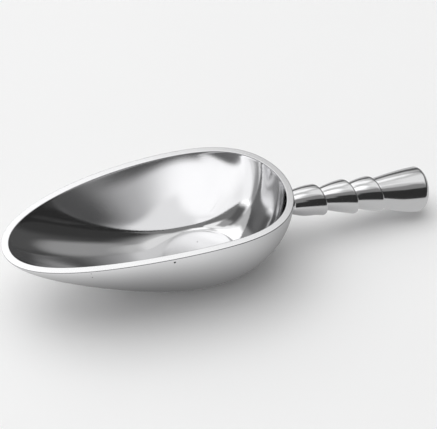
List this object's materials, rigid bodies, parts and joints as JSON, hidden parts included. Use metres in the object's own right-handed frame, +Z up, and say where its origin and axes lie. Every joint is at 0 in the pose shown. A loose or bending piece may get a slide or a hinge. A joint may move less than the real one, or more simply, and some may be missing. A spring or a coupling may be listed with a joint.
{
  "type": "ice scoop",
  "caption": "Pointed, deep hand scoop of polished cast aluminium with a flat rim and a drooping handle of stacked flared steps that ends in a thick rounded grip.",
  "frame": {"origin": "middle of the bounding box's bottom face, on the plane that the foot and the handle's end rest on", "axes": "+X from the bowl's point to the handle's end, +Y lateral, +Z up through the bowl's mouth"},
  "size_m": [0.2635, 0.088, 0.0516],
  "materials": {
    "bowl_metal": "mirror-polished cast aluminium",
    "handle_metal": "mirror-polished cast aluminium",
    "plug_metal": "turned and polished aluminium",
    "steel": "zinc-plated steel"
  },
  "bodies": {
    "root": {"bowl": "bowl_metal", "handle_segment_1": "handle_metal", "handle_segment_2": "handle_metal", "handle_segment_3": "handle_metal", "handle_segment_4": "handle_metal", "end_plug": "plug_metal", "tie_rod": "steel", "flat_washer": "steel", "lock_washer": "steel", "clamp_nut": "steel"}
  },
  "joints": []
}
